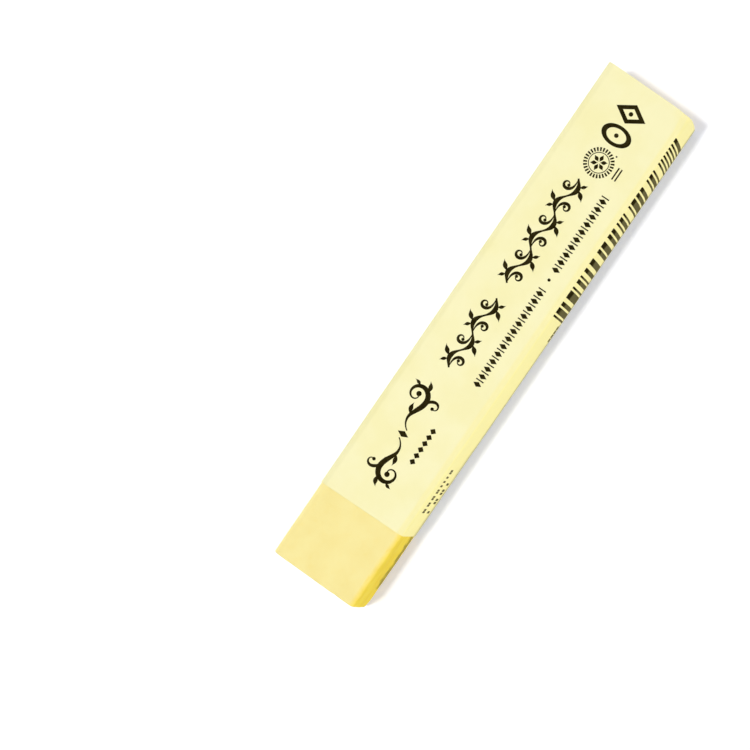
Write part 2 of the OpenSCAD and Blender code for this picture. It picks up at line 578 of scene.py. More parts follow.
uneven = lumps(tree, place, given["Uneven Width"], given["Seed"])
uneven = add_node(tree, "ShaderNodeMath", SUBTRACT, {0: uneven, 1: 0.5})
crumbs = lumps(tree, place, given["Crumble Width"], given["Seed"], detail=3.0)
crumbs = add_node(tree, "ShaderNodeMapRange", SMOOTH, {
    "Value": crumbs, "From Min": 0.5, "From Max": 0.75, "To Max": given["Crumble Depth"]})
pit_place = add_node(tree, "ShaderNodeVectorMath", DIVIDE, {0: place, 1: given["Pit Spacing"]})
cells = add_node(tree, "ShaderNodeTexVoronoi", {"voronoi_dimensions": "4D"},
                 {"Vector": pit_place, "W": given["Seed"], "Scale": 1.0})
pit_radius = add_node(tree, "ShaderNodeMath", DIVIDE, {0: given["Pit Width"], 1: given["Pit Spacing"]})
chance = add_node(tree, "ShaderNodeSeparateXYZ", inputs={0: cells.outputs["Color"]})
pit_radius = add_node(tree, "ShaderNodeMath", MULTIPLY, {0: pit_radius, 1: chance})
pit_share = add_node(tree, "ShaderNodeMapRange", SMOOTH, {
    "Value": cells.outputs["Distance"], "From Min": pit_radius, "From Max": 0.0})

depth = add_node(tree, "ShaderNodeMath", MULTIPLY, {0: crumbs, 1: edge})
depth = add_node(tree, "ShaderNodeMath", MULTIPLY_ADD, {0: uneven, 1: given["Uneven Depth"], 2: depth})
depth = add_node(tree, "ShaderNodeMath", MULTIPLY_ADD, {0: pit_share, 1: given["Pit Depth"], 2: depth})
inwards = add_node(tree, "ShaderNodeMath", MULTIPLY, {0: depth, 1: -1.0})
offset = add_node(tree, "ShaderNodeVectorMath", SCALE, {0: normal, "Scale": inwards})
print("depth of wear worked out by", len(tree.nodes), "nodes")

# %% [markdown]
# The skin is now moved by that depth. What faces up is marked for the painted sheen and the powder,
# the shading is made smooth, and the tree closes with the chalk.

# %% Move the skin and dress it
marked = add_node(tree, "GeometryNodeStoreNamedAttribute", inputs={
    "Geometry": given["Geometry"], "Name": "pit", "Value": pit_share})
worn = add_node(tree, "GeometryNodeSetPosition", inputs={"Geometry": marked, "Offset": offset})
faced = add_node(tree, "GeometryNodeGroup", {"node_tree": facing_tree}, {
    "Geometry": worn, "Towards": given["Dust And Sheen From"], "Full Within": given["Dust And Sheen Full Within"],
    "None Beyond": given["Dust And Sheen None Beyond"]})
smooth = add_node(tree, "GeometryNodeSetShadeSmooth", inputs={"Geometry": faced})
close_tree(tree, smooth, given["Chalk"], result)

run_tree(bar_blank, tree, WEAR)
bar = plain_piece("pressed_bar", bar_blank)

# %% [markdown]
# ## The paper's finish
# The sleeve is thin coated paper, printed pale yellow on the outside and left white inside. Its
# coating gives a soft sheen, so the roughness is near a half. Its yellow is painted palest on the
# face that catches the light and deeper on the near side, as painted light and shade, and the near
# side's lower fold is painted darker still, as painted shade.
# Along each fold, where the surface has turned half way, a little painted shade dulls the yellow.

# %% Coated paper
PAPER_TOP = "#f7f1bb"
PAPER_TOP_WARM = "#f5eeb1"
PAPER_SIDE = "#fef4a1"
PAPER_FOLD_SHADE = "#f7eeac"
PAPER_LOW_SHADE = "#bcb57c"
CLOUD = 4 * MM
FIBRE = 0.25 * MM
FIBRE_HEIGHT = 0.02 * MM
FIBRE_RUN = (0.3, 1.0, 1.0)
LOW_SHADE_TOP = 3.3 * MM
LOW_SHADE_FULL = 0.8 * MM

paper_material, tree, surface = new_material("coated_sleeve_paper")
place = add_node(tree, "ShaderNodeTexCoord").outputs["Object"]
clouded = patches(tree, place, CLOUD, low=0.4, high=0.65, detail=3.0)
top_tint = add_node(tree, "ShaderNodeMix", BLEND,
                    {0: clouded, 6: srgb(PAPER_TOP), 7: srgb(PAPER_TOP_WARM)}).outputs[2]
facing = add_node(tree, "ShaderNodeAttribute", {"attribute_name": "facing"}).outputs["Fac"]
# Painted light and shade: palest on the face towards the light, deeper on the near side.
tint = add_node(tree, "ShaderNodeMix", BLEND, {0: facing, 6: srgb(PAPER_SIDE), 7: top_tint}).outputs[2]
# Painted shade on the folds, where the surface has turned half way.
turned = add_node(tree, "ShaderNodeMath", {"operation": "SQRT"}, {0: facing})
half_turned = add_node(tree, "ShaderNodeMath", {"operation": "PINGPONG"}, {0: turned, 1: 0.5})
fold_shade = add_node(tree, "ShaderNodeMapRange", SMOOTH, {"Value": half_turned, "From Max": 0.4})
tint = add_node(tree, "ShaderNodeMix", BLEND, {0: fold_shade, 6: tint, 7: srgb(PAPER_FOLD_SHADE)}).outputs[2]
split = add_node(tree, "ShaderNodeSeparateXYZ", inputs={0: place}).outputs
# Painted shade: the near side's lower fold is darker towards the table.
low = add_node(tree, "ShaderNodeMapRange", SMOOTH, {
    "Value": split["Z"], "From Min": LOW_SHADE_TOP, "From Max": LOW_SHADE_FULL})
near_side = add_node(tree, "ShaderNodeMapRange", inputs={
    "Value": split["Y"], "From Min": wrap_low.y / 2, "From Max": wrap_low.y})
low_shade = add_node(tree, "ShaderNodeMath", MULTIPLY, {0: low, 1: near_side})
tint = add_node(tree, "ShaderNodeMix", BLEND, {0: low_shade, 6: tint, 7: srgb(PAPER_LOW_SHADE)}).outputs[2]
stretch = add_node(tree, "ShaderNodeMapping", inputs={"Vector": place, "Scale": FIBRE_RUN})
fibres = add_node(tree, "ShaderNodeTexNoise", inputs={"Vector": stretch, "Scale": 1 / FIBRE, "Detail": 3.0})
fibre_bump = add_node(tree, "ShaderNodeBump", inputs={
    "Height": fibres, "Strength": 0.12, "Distance": FIBRE_HEIGHT})
paper = add_node(tree, "ShaderNodeBsdfPrincipled", inputs={
    "Base Color": tint, "Roughness": 0.55, "IOR": 1.5, "Normal": fibre_bump})
tree.links.new(paper.outputs[0], surface)
print(paper_material.name, "has", len(tree.nodes), "nodes")

# %% [markdown]
# The inside of the sheet and its cut edges are bare paper: white, without the coating's sheen, and
# with the felt of the fibres a little stronger.

# %% Bare paper
PAPER_INSIDE = "#fdfaea"
PAPER_INSIDE_GREY = "#f3eed8"

inside_material, tree, surface = new_material("bare_inside_paper")
place = add_node(tree, "ShaderNodeTexCoord").outputs["Object"]
felt = add_node(tree, "ShaderNodeTexNoise", inputs={"Vector": place, "Scale": 1 / FIBRE, "Detail": 4.0})
felted = add_node(tree, "ShaderNodeMix", BLEND,
                  {0: felt, 6: srgb(PAPER_INSIDE), 7: srgb(PAPER_INSIDE_GREY)}).outputs[2]
felt_bump = add_node(tree, "ShaderNodeBump", inputs={
    "Height": felt, "Strength": 0.3, "Distance": FIBRE_HEIGHT})
paper = add_node(tree, "ShaderNodeBsdfPrincipled", inputs={
    "Base Color": felted, "Roughness": 0.9, "IOR": 1.5, "Normal": felt_bump})
tree.links.new(paper.outputs[0], surface)
print(inside_material.name, "has", len(tree.nodes), "nodes")

# %% [markdown]
# ## The sleeve
# One sheet of paper is wrapped once round the bar. It starts under its own lap on the far side
# and ends on top of it. The fold line of the sheet's middle is drawn as a curve of straight
# stretches and quarter circles, and a Geometry Nodes tree sweeps it along the stick.

# %% Draw the fold line of the sheet
PAPER = wrap_high.y + wrap_low.y
OUTER_FOLD_RADIUS = 0.87 * MM
FOLD_RADIUS = OUTER_FOLD_RADIUS - PAPER / 2
LAP_WIDTH = 5 * MM
LAP_SLOPE = 0.4 * MM
FLAT_STEP = 0.35 * MM
CORNER_STEPS = 9

side_y = -wrap_low.y - PAPER / 2
under_z = wrap_low.z + PAPER / 2
over_z = wrap_high.z - PAPER / 2
lap_cut_z = (wrap_high.z - LAP_WIDTH) / 2
lap_buried_z = lap_cut_z + LAP_WIDTH


def flat_run(start, end):
    """Evenly spaced points from start up to, but not at, end."""
    count = max(1, round((Vector(end) - Vector(start)).length / FLAT_STEP))
    return [Vector(start).lerp(Vector(end), i / count) for i in range(count)]


def fold(centre, from_angle):
    """A quarter turn from that angle, anticlockwise seen from the wrapped end."""
    turns = [from_angle + math.pi / 2 * i / CORNER_STEPS for i in range(CORNER_STEPS)]
    return [Vector((centre[0] + FOLD_RADIUS * math.cos(a), centre[1] + FOLD_RADIUS * math.sin(a)))
            for a in turns]


fold_y, low_z, high_z = side_y - FOLD_RADIUS, under_z + FOLD_RADIUS, over_z - FOLD_RADIUS
slope_top = lap_buried_z + LAP_SLOPE
fold_line = (flat_run((side_y + PAPER, lap_cut_z), (side_y + PAPER, lap_buried_z))
             + flat_run((side_y + PAPER, lap_buried_z), (side_y, slope_top))
             + flat_run((side_y, slope_top), (side_y, high_z)) + fold((fold_y, high_z), 0)
             + flat_run((fold_y, over_z), (-fold_y, over_z)) + fold((-fold_y, high_z), math.pi / 2)
             + flat_run((-side_y, high_z), (-side_y, low_z)) + fold((-fold_y, low_z), math.pi)
             + flat_run((-fold_y, under_z), (fold_y, under_z)) + fold((fold_y, low_z), 1.5 * math.pi)
             + flat_run((side_y, low_z), (side_y, lap_buried_z)) + [Vector((side_y, lap_buried_z))])

fold_curve = bpy.data.curves.new("fold_line", "CURVE")
fold_curve.dimensions = "3D"
fold_curve.materials.append(paper_material)
fold_curve.materials.append(inside_material)
spline = fold_curve.splines.new("POLY")
spline.points.add(len(fold_line) - 1)
for point, place in zip(spline.points, fold_line):
    point.co = (-place.x, -place.y, 0, 1)
sleeve_blank = add_object("sleeve_blank", fold_curve)
print("fold line of", len(fold_line), "points")

# %% [markdown]
# The sizes of the sheet come first, and the tree asks for each of them by name. It draws a straight
# rail as long as the sleeve, divides it into even steps and sweeps the fold line along it.

# %% Sweep the sheet along the stick
SHEET = {
    "Start": wrap_low.x, "End": wrap_high.x, "Rings": 161, "Wave Height": 0.05 * MM, "Wave Width": 9 * MM,
    "Level Below": 1.5 * MM, "Edge Skew": 0.022, "Far Skew": -0.020, "Skew Reach": 8 * MM,
    "Far Side": side_y, "Side Fold": -fold_y, "Side": -side_y,
    "Puff": -0.14 * MM, "Puff From": -11.8 * MM, "Puff Full": -10.3 * MM,
    "Puff Middle": wrap_high.z / 2, "Knock": Vector((-0.25, 0.65, -0.72)) * 0.35 * MM,
    "Knock Reach": 2.4 * MM, "Knock Place": Vector((wrap_high.x, wrap_low.y, wrap_high.z)),
    # Pale From sets where the paper is painted palest, as painted light.
    "Pale From": Vector((0, 1, 1)).normalized(), "Pale Full Within": math.radians(50),
    "Pale None Beyond": math.radians(116), "Seed": 1.0, "Paper": paper_material}

tree, given, result = new_tree("wrapped_sheet", kinds_of(SHEET))
rail_start = add_node(tree, "ShaderNodeCombineXYZ", inputs={"X": given["Start"]})
rail_end = add_node(tree, "ShaderNodeCombineXYZ", inputs={"X": given["End"]})
rail = add_node(tree, "GeometryNodeCurvePrimitiveLine", inputs={"Start": rail_start, "End": rail_end})
rail = add_node(tree, "GeometryNodeResampleCurve", inputs={"Curve": rail, "Count": given["Rings"]})
sheet = add_node(tree, "GeometryNodeCurveToMesh", inputs={
    "Curve": rail, "Profile Curve": given["Geometry"]})
print("swept in", SHEET["Rings"], "rings")

# %% [markdown]
# Paper is never quite flat, so the tree moves the swept sheet a little in four ways. The faces
# stand off in slow waves, except underneath, where the stick lies on them. Both ends are cut a
# little askew. The long near side is puffed out past the first centimetre. The corner over the
# bar's knocked corner is pushed in.

# %% Wave, skew, puff and knock
place = add_node(tree, "GeometryNodeInputPosition")
normal = add_node(tree, "GeometryNodeInputNormal")
split = add_node(tree, "ShaderNodeSeparateXYZ", inputs={0: place}).outputs

from_start = add_node(tree, "ShaderNodeMath", SUBTRACT, {0: split["X"], 1: given["Start"]})
to_end = add_node(tree, "ShaderNodeMath", SUBTRACT, {0: given["End"], 1: split["X"]})

wave = lumps(tree, place, given["Wave Width"], given["Seed"])
free = add_node(tree, "ShaderNodeMapRange", SMOOTH, {
    "Value": split["Z"], "From Max": given["Level Below"], "To Max": given["Wave Height"]})
wave = add_node(tree, "ShaderNodeMath", MULTIPLY, {0: wave, 1: free})
waved = add_node(tree, "ShaderNodeVectorMath", SCALE, {0: normal, "Scale": wave})

near_skew = add_node(tree, "ShaderNodeMapRange", inputs={
    "Value": from_start, "From Min": given["Skew Reach"], "From Max": 0.0, "To Max": given["Edge Skew"]})
far_skew = add_node(tree, "ShaderNodeMapRange", inputs={
    "Value": to_end, "From Min": given["Skew Reach"], "From Max": 0.0, "To Max": given["Far Skew"]})
skew = add_node(tree, "ShaderNodeMath", ADD, {0: near_skew, 1: far_skew})
off_far_side = add_node(tree, "ShaderNodeMath", SUBTRACT, {0: given["Far Side"], 1: split["Y"]})
skew = add_node(tree, "ShaderNodeMath", MULTIPLY, {0: skew, 1: off_far_side})
on_side = add_node(tree, "ShaderNodeMapRange", SMOOTH, {
    "Value": split["Y"], "From Min": given["Side Fold"], "From Max": given["Side"]})
rise = add_node(tree, "ShaderNodeMapRange", SMOOTH, {
    "Value": split["X"], "From Min": given["Puff From"], "From Max": given["Puff Full"]})
off_middle = add_node(tree, "ShaderNodeMath", SUBTRACT, {0: split["Z"], 1: given["Puff Middle"]})
off_middle = add_node(tree, "ShaderNodeMath", {"operation": "ABSOLUTE"}, {0: off_middle})
belly = add_node(tree, "ShaderNodeMapRange", SMOOTH, {
    "Value": off_middle, "From Min": given["Puff Middle"], "From Max": 0.0, "To Max": given["Puff"]})
puff = on_side
for share in (rise, belly):
    puff = add_node(tree, "ShaderNodeMath", MULTIPLY, {0: puff, 1: share})
shift = add_node(tree, "ShaderNodeCombineXYZ", inputs={"X": skew, "Y": puff})
knock_gap = add_node(tree, "ShaderNodeVectorMath", {"operation": "DISTANCE"},
                     {0: place, 1: given["Knock Place"]})
knock = add_node(tree, "ShaderNodeMapRange", SMOOTH, {
    "Value": knock_gap.outputs["Value"], "From Min": given["Knock Reach"], "From Max": 0.0})
offset = add_node(tree, "ShaderNodeVectorMath", ADD, {0: waved, 1: shift})
offset = add_node(tree, "ShaderNodeVectorMath", MULTIPLY_ADD, {
    0: given["Knock"], 1: knock, 2: offset})
print("moves of the sheet worked out by", len(tree.nodes), "nodes")

# %% [markdown]
# The swept sheet has no thickness yet. A Solidify modifier gives it that of the paper, and puts the
# bare inside paper on the inner face and along the cut rim. It can only use as many materials as
# its object has, so the curve was given both, but the mesh that comes out lists only the outer one,
# and the inner one is added again. The rim's edges are then marked sharp, because smooth shading
# across so thin a rim would draw a dark line along it.

# %% Settle, thicken and dress the sheet
settled = add_node(tree, "GeometryNodeSetPosition", inputs={"Geometry": sheet, "Offset": offset})
faced = add_node(tree, "GeometryNodeGroup", {"node_tree": facing_tree}, {
    "Geometry": settled, "Towards": given["Pale From"], "Full Within": given["Pale Full Within"],
    "None Beyond": given["Pale None Beyond"]})
smooth = add_node(tree, "GeometryNodeSetShadeSmooth", inputs={"Geometry": faced})
close_tree(tree, smooth, given["Paper"], result)

run_tree(sleeve_blank, tree, SHEET)

thickness = sleeve_blank.modifiers.new("paper_thickness", "SOLIDIFY")
thickness.thickness = PAPER
thickness.offset = 0
thickness.use_even_offset = True
thickness.material_offset = 1
thickness.material_offset_rim = 1
sleeve = plain_piece("wrapped_sleeve", sleeve_blank)
sleeve.data.set_sharp_from_angle(angle=math.radians(40))
sleeve.data.materials.append(inside_material)
print("sleeve materials", [m.name for m in sleeve.data.materials])

# %% [markdown]
# ## The printing ink
# The print is one dark olive ink. It has sunk into the paper and dried matte, so it has no mirror
# part: with one it would look grey on the long side, which is seen at a glancing angle. The film is
# never quite even, so its tone wanders a little. Below the fold the ink is painted a washed-out olive
# instead: a painted sheen of that glancing view.

# %% Olive printing ink
INK_DARK = "#221c09"
INK_THIN = "#332c13"
INK_SHEENED = "#686241"
INK_PATCH = 0.5 * MM
SHEEN_BELOW = 9.0 * MM
SHEEN_FULLY = 7.8 * MM
SHEEN_PATCH = 2.5 * MM
SHEEN_WANDER = 3.0 * MM

ink_material, tree, surface = new_material("printed_olive_black_ink")
place = add_node(tree, "ShaderNodeTexCoord").outputs["Object"]
height = add_node(tree, "ShaderNodeSeparateXYZ", inputs={0: place}).outputs["Z"]
patchy = patches(tree, place, INK_PATCH, low=0.35, high=0.7, detail=2.0)
tone = add_node(tree, "ShaderNodeMix", BLEND, {0: patchy, 6: srgb(INK_DARK), 7: srgb(INK_THIN)}).outputs[2]
sheen_noise = add_node(tree, "ShaderNodeTexNoise", inputs={"Vector": place, "Scale": 1 / SHEEN_PATCH, "Detail": 2.0})
height = add_node(tree, "ShaderNodeMath", MULTIPLY_ADD, {0: sheen_noise, 1: SHEEN_WANDER, 2: height})
# Painted sheen: rubbed holds where the ink below the fold is lightened to a washed-out olive.
rubbed = add_node(tree, "ShaderNodeMapRange", SMOOTH, {
    "Value": height, "From Min": SHEEN_BELOW + SHEEN_WANDER / 2, "From Max": SHEEN_FULLY + SHEEN_WANDER / 2})
tone = add_node(tree, "ShaderNodeMix", BLEND, {0: rubbed, 6: tone, 7: srgb(INK_SHEENED)}).outputs[2]
ink = add_node(tree, "ShaderNodeBsdfPrincipled", inputs={
    "Base Color": tone, "Roughness": 0.8, "IOR": 1.5, "Specular IOR Level": 0.0})
tree.links.new(ink.outputs[0], surface)
print(ink_material.name, "is rubbed between", SHEEN_BELOW / MM, "and", SHEEN_FULLY / MM, "mm up")

# %% [markdown]
# ## Pens and shapes for the print
# Ornament of this kind was drawn with a pen: a stroke bends, swells and thins again. So a stroke
# is a path given as stretches, each with a length and with its bend at both ends, and a width for
# each point. All of it is drawn in millimetres about the middle of the motif, x along the stick
# and y upwards.

# %% Pens
PEN_STEP = 0.1


def pen_path(start, heading, stretches):
    """Points and headings of a line of stretches (length, first bend, last bend) in degrees per mm."""
    points, headings = [np.array(start, float)], [math.radians(heading)]
    for length, first_bend, last_bend in stretches:
        count = max(2, round(length / PEN_STEP))
        for share in (np.arange(count) + 0.5) / count:
            turn = math.radians(first_bend + (last_bend - first_bend) * share) * length / count
            middle = headings[-1] + turn / 2
            points.append(points[-1] + length / count * np.array([math.cos(middle), math.sin(middle)]))
            headings.append(headings[-1] + turn)
    return np.array(points), np.array(headings)


def pen_stroke(path, widths):
    """Four-cornered pieces that follow a path, as wide as the pen is at each point."""
    points, headings = path
    across = np.stack([-np.sin(headings), np.cos(headings)], axis=1)
    left = points + across * (widths / 2)[:, None]
    right = points - across * (widths / 2)[:, None]
    return [[right[i], right[i + 1], left[i + 1], left[i]] for i in range(len(points) - 1)]


def swelling(path, thin, thick, widest):
    """Pen widths from thin to thick and back, widest at that share of the path."""
    share = np.linspace(0, 1, len(path[0]))
    rise = np.where(share < widest, share / widest, (1 - share) / (1 - widest))
    return thin + (thick - thin) * np.sin(rise * math.pi / 2) ** 2


print("a pen step is", PEN_STEP, "mm")

# %% [markdown]
# The motifs need only a few shapes. Leaves and rings are pen strokes too, while discs, diamonds
# and upright bands are drawn corner by corner.

# %% Shapes
DISC_SIDES = 20
LEAF_TIP = 0.02


def leaf(base, heading, length, width, bend=0):
    """A leaf that starts at its base and is widest half way to its tip."""
    path = pen_path(base, heading, [(length, bend, bend)])
    return pen_stroke(path, swelling(path, LEAF_TIP, width, widest=0.5))


def disc(centre, radius):
    """A round dot, as one shape of many sides."""
    angles = np.linspace(0, 2 * math.pi, DISC_SIDES, endpoint=False)
    return [[(centre[0] + radius * math.cos(a), centre[1] + radius * math.sin(a)) for a in angles]]


def lozenge(centre, half_width, half_height):
    """A diamond that stands on its point."""
    x, y = centre
    return [[(x - half_width, y), (x, y - half_height), (x + half_width, y), (x, y + half_height)]]


def band(low, high, rows=1):
    """An upright rectangle cut into rows, so that it can follow a fold."""
    levels = np.linspace(low[1], high[1], rows + 1)
    return [[(low[0], y0), (high[0], y0), (high[0], y1), (low[0], y1)]
            for y0, y1 in zip(levels[:-1], levels[1:])]


def ring(radius, width):
    """A circle drawn once round with a pen of that width."""
    bend = math.degrees(1 / radius)
    path = pen_path((radius, 0), 90, [(2 * math.pi * radius, bend, bend)])
    return pen_stroke(path, np.full(len(path[0]), width))


def lozenge_ring(half_width, half_height, line):
    """A lozenge outline whose line takes up that share of its half width and half height."""
    outer = lozenge((0, 0), half_width, half_height)[0]
    inner = lozenge((0, 0), half_width * (1 - line), half_height * (1 - line))[0]
    return [[outer[i - 1], outer[i], inner[i], inner[i - 1]] for i in range(4)]


def narrowed(shapes, share):
    """The same shapes, that share as wide and as high as before."""
    return [[(x * share, y) for x, y in shape] for shape in shapes]


print("a disc has", DISC_SIDES, "sides")

# %% [markdown]
# Shapes of one motif overlap, where a leaf grows from a stem for instance. A triangulation joins
# them into one flat mesh, so that the ink is one closed film where they touch.

# %% One flat mesh from many shapes
SMALLEST_GAP = 1e-5


def flat_motif(name, shapes, out):
    """One flat mesh object of overlapping shapes, drawn upright on a face that looks that way."""
    corners, loops = [], []
    for shape in shapes:
        loops.append(list(range(len(corners), len(corners) + len(shape))))
        corners += [Vector(corner) for corner in shape]
    places, _, faces, _, _, sources = delaunay_2d_cdt(corners, [], loops, 1, SMALLEST_GAP, True)
    inside = [face for face, source in zip(faces, sources) if source]
    upwards = out.cross(Vector((1, 0, 0)))
    mesh = bpy.data.meshes.new(name)
    mesh.from_pydata([(Vector((p.x, 0, 0)) + upwards * p.y) * MM for p in places], [], inside)
    mesh.materials.append(ink_material)
    return add_object(name, mesh)


print("shapes closer than", SMALLEST_GAP, "mm are joined")

# %% [markdown]
# ## Putting ink on the paper
# One Geometry Nodes tree prints every mark. First it repeats a motif along a row, and can turn
# every other one over or leave some out by chance.

# %% Repeat a motif
WELD = 1e-6

print_tree, given, result = new_tree("print_on_paper", {
    "Start": Vector, "Step": Vector, "Count": int, "Turn": float, "Keep Share": float, "Seed": int,
    "Out": Vector, "Reach": float, "Ink Rise": float, "Ink Sink": float, "Paper": bpy.types.Object,
    "Ink": bpy.types.Material})
row = add_node(print_tree, "GeometryNodeMeshLine", inputs={
    "Count": given["Count"], "Start Location": given["Start"], "Offset": given["Step"]})
kept = add_node(print_tree, "FunctionNodeRandomValue", {"data_type": "BOOLEAN"},
                {"Probability": given["Keep Share"], "Seed": given["Seed"]}).outputs[3]
index = add_node(print_tree, "GeometryNodeInputIndex")
angle = add_node(print_tree, "ShaderNodeMath", MULTIPLY, {0: index, 1: given["Turn"]})
turn = add_node(print_tree, "FunctionNodeAxisAngleToRotation", inputs={"Axis": given["Out"], "Angle": angle})
repeated = add_node(print_tree, "GeometryNodeInstanceOnPoints", inputs={
    "Points": row, "Selection": kept, "Instance": given["Geometry"], "Rotation": turn})
flat = add_node(print_tree, "GeometryNodeRealizeInstances", inputs={"Geometry": repeated})
flat = add_node(print_tree, "GeometryNodeMergeByDistance", inputs={"Geometry": flat, "Distance": WELD})
print("a row of motifs takes", len(print_tree.nodes), "nodes")

# %% [markdown]
# Then it drops the row onto the sleeve with a ray per point, so that the ink follows the waves and
# the fold of the paper, and gives it a thickness: a film that stands a hundredth of a millimetre
# proud and is sunk a little way into the sheet.

# %% Drop the ink onto the paper
sheet = add_node(print_tree, "GeometryNodeObjectInfo", inputs={"Object": given["Paper"]})
towards_paper = add_node(print_tree, "ShaderNodeVectorMath", SCALE, {0: given["Out"], "Scale": -1.0})
place = add_node(print_tree, "GeometryNodeInputPosition")
landing = add_node(print_tree, "GeometryNodeRaycast", inputs={
    "Target Geometry": sheet.outputs["Geometry"], "Source Position": place,
    "Ray Direction": towards_paper, "Ray Length": given["Reach"]})
sunk = add_node(print_tree, "ShaderNodeVectorMath", SCALE, {0: towards_paper, "Scale": given["Ink Sink"]})
bed = add_node(print_tree, "ShaderNodeVectorMath", ADD, {0: landing.outputs["Hit Position"], 1: sunk})
laid = add_node(print_tree, "GeometryNodeSetPosition", inputs={
    "Geometry": flat, "Selection": landing.outputs["Is Hit"], "Position": bed})

film = add_node(print_tree, "ShaderNodeMath", ADD, {0: given["Ink Rise"], 1: given["Ink Sink"]})
raised = add_node(print_tree, "GeometryNodeExtrudeMesh", inputs={
    "Mesh": laid, "Offset": given["Out"], "Offset Scale": film, "Individual": False})
underside = add_node(print_tree, "GeometryNodeFlipFaces", inputs={"Mesh": laid})
closed = add_node(print_tree, "GeometryNodeJoinGeometry", inputs={"Geometry": raised})
print_tree.links.new(underside.outputs[0], closed.inputs["Geometry"])
closed = add_node(print_tree, "GeometryNodeMergeByDistance", inputs={"Geometry": closed, "Distance": WELD})
close_tree(print_tree, closed, given["Ink"], result)
print("printing tree of", len(print_tree.nodes), "nodes")

# %% [markdown]
# A stamp is a motif with its place. On the upper face places are counted from the middle line, and
# on the long side from its foot. Along the stick both are counted from the sleeve's edge at the
# bare end. The motif starts out a little above the paper, and the tree drops it from there.

# %% The stamp
HOVER = 1.0
REACH = 3.0 * MM
INK_RISE = 0.012 * MM
INK_SINK = 0.008 * MM
ON_TOP = Vector((0, 0, 1))
ON_NEAR_SIDE = Vector((0, -1, 0))
NO_STEP = Vector((0, 0, 0))
printed = []


def stamp(name, shapes, out, place, step=NO_STEP, count=1, turn=0.0, keep=1.0, seed=0):
    """Prints a motif, or a row of it, at (mm along the sleeve, mm up the face)."""
    if out == ON_TOP:
        start = Vector((wrap_low.x, 0, wrap_high.z)) + Vector((place[0], place[1], HOVER)) * MM
    else:
        start = Vector((wrap_low.x, wrap_low.y, 0)) + Vector((place[0], -HOVER, place[1])) * MM
    blank = flat_motif(name + "_blank", shapes, out)
    run_tree(blank, print_tree, {
        "Start": start, "Step": step * MM, "Count": count, "Turn": turn, "Keep Share": keep, "Seed": seed,
        "Out": out, "Reach": REACH, "Ink Rise": INK_RISE, "Ink Sink": INK_SINK, "Paper": sleeve,
        "Ink": ink_material})
    printed.append(plain_piece(name, blank))


print("ink stands", INK_RISE / MM, "mm proud of the paper")

# %% [markdown]
# ## The print on the upper face
# From the bare end on there come a large scroll, two lengths of vine with a row of beads below
# them, and a round seal with two plain marks. The scroll is one half, turned over to make the
# other. Its stem and its branch are lists of stretches: length, bend at the start, bend at the end.
# Each leaf is given by the share of the stem where it grows, its lean, length, width and bend.

# %% Scroll
LARGE_LINE = 0.85
STEM = [(2.0, -34, -44), (2.4, -20, 44), (2.9, 44, 62), (2.3, 62, 150)]
BRANCH = [(1.6, -20, -55), (1.7, -80, -190)]
BRANCH_FROM = 0.36
BRANCH_LEAN = 10
LEAVES = [(0.2, 50, 1.5, 0.5, -30), (0.54, -52, 1.4, 0.5, 35), (0.66, -60, 1.0, 0.36, 35)]
SCROLL_PLACE = (9.5, LARGE_LINE)

stem = pen_path((0.55, -0.15), heading=60, stretches=STEM)
stem_points, stem_headings = stem


def along_stem(share):
    """The place and the heading, in degrees, at that share of the stem."""
    index = int(len(stem_points) * share)
    return stem_points[index], math.degrees(stem_headings[index])


scroll = pen_stroke(stem, swelling(stem, thin=0.13, thick=0.62, widest=0.42))
scroll += disc(stem_points[-1], radius=0.3)
root, heading = along_stem(BRANCH_FROM)
branch = pen_path(root, heading + BRANCH_LEAN, BRANCH)
scroll += pen_stroke(branch, swelling(branch, thin=0.1, thick=0.36, widest=0.4))
scroll += disc(branch[0][-1], radius=0.2)
for share, lean, length, width, bend in LEAVES:
    root, heading = along_stem(share)
    scroll += leaf(root, heading + lean, length, width, bend)
stamp("print_scroll", scroll, ON_TOP, SCROLL_PLACE, count=2, turn=math.pi)
stamp("print_scroll_lozenge", lozenge((0, 0), half_width=0.36, half_height=0.7), ON_TOP, SCROLL_PLACE)
stamp("print_scroll_underline", lozenge((0, 0), half_width=0.36, half_height=0.38), ON_TOP,
      (7.6, -1.75), step=Vector((0.8, 0, 0)), count=6)

# %% [markdown]
# The vine is one curl of a wavy stem with a tendril and two leaves. It is laid down again and
# again, and every second one is turned over, so that the stem runs on. A bead is a small diamond
# with a stroke beside it.

# %% Vine and beads
CURL_PITCH = 2.3
CURL_HEIGHT = 0.62
CURL_STEPS = 24
CURL_THIN = 0.20
CURL_SWELL = 0.36
BEAD_LINE = -2.8
TENDRIL = [(0.9, -20, -40), (1.0, -60, -95), (1.2, -120, -180), (0.5, -200, -260)]

wave_x = np.linspace(-CURL_PITCH / 2, CURL_PITCH / 2, CURL_STEPS + 1)
crest = np.cos(math.pi * wave_x / CURL_PITCH)
slope = -CURL_HEIGHT * math.pi / CURL_PITCH * np.sin(math.pi * wave_x / CURL_PITCH)
wave_line = (np.stack([wave_x, CURL_HEIGHT * crest], axis=1), np.arctan(slope))
curl = pen_stroke(wave_line, CURL_THIN + CURL_SWELL * crest ** 2)
tendril = pen_path((0.1 - CURL_PITCH / 2, 0.05), heading=14, stretches=TENDRIL)
curl += pen_stroke(tendril, swelling(tendril, thin=0.1, thick=0.36, widest=0.5))
curl += disc(tendril[0][-1], radius=0.18)
curl += leaf((-0.08, CURL_HEIGHT + 0.05), heading=60, length=1.45, width=0.52, bend=-18)
curl += leaf((-0.35, CURL_HEIGHT), heading=120, length=1.0, width=0.38, bend=22)
curl_step = Vector((CURL_PITCH, 0, 0))
stamp("print_vine_short", curl, ON_TOP, (19.5, LARGE_LINE), step=curl_step, count=4, turn=math.pi)
stamp("print_vine_long", curl, ON_TOP, (30.7, LARGE_LINE), step=curl_step, count=6, turn=math.pi)

